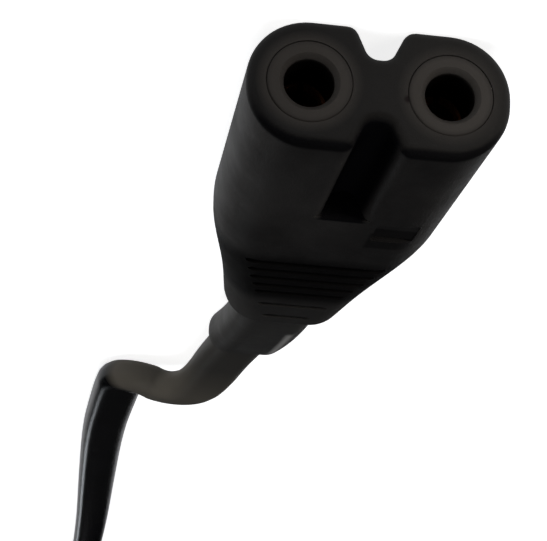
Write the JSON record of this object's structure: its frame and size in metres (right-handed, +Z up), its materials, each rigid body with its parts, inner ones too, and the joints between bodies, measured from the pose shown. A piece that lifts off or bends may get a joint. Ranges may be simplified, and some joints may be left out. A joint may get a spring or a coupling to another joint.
{
  "type": "appliance power cord",
  "caption": "Mains lead with a moulded appliance connector whose face has contact holes and keying notches, ribbed grip, flat cord folded into a tied hank, and a flat pin plug.",
  "frame": {"origin": "under the middle of the appliance connector, on the surface that it lies on", "axes": "+Y from the connector's face to its neck and on along the cord to the plug, +Z up, X across the contact holes"},
  "size_m": [0.0376, 0.467, 0.0171],
  "materials": {
    "shell": "moulded flexible plastic, fine satin grain",
    "insert": "hard moulded plastic, smooth satin",
    "contact": "bare, slightly dull",
    "wire": "bare stranded copper",
    "core_brown": "smooth insulation",
    "core_blue": "smooth insulation",
    "cord": "smooth flexible sheath, semi-gloss",
    "tie": "smooth flexible strip",
    "pin": "bright plated"
  },
  "bodies": {
    "root": {"connector_shell": "shell", "contact_carrier": "insert", "contact_left": "contact", "contact_right": "contact", "connector_core_left": "core_brown", "connector_core_right": "core_blue", "connector_wire_left": "wire", "connector_wire_right": "wire", "cord_lead": "cord", "cord_hank": "cord", "cord_tail": "cord", "hank_tie": "tie", "plug_shell": "shell", "pin_carrier": "insert", "plug_pin_left": "pin", "plug_pin_right": "pin", "pin_sleeve_left": "insert", "pin_sleeve_right": "insert", "plug_core_left": "core_brown", "plug_core_right": "core_blue", "plug_wire_left": "wire", "plug_wire_right": "wire"}
  },
  "joints": []
}
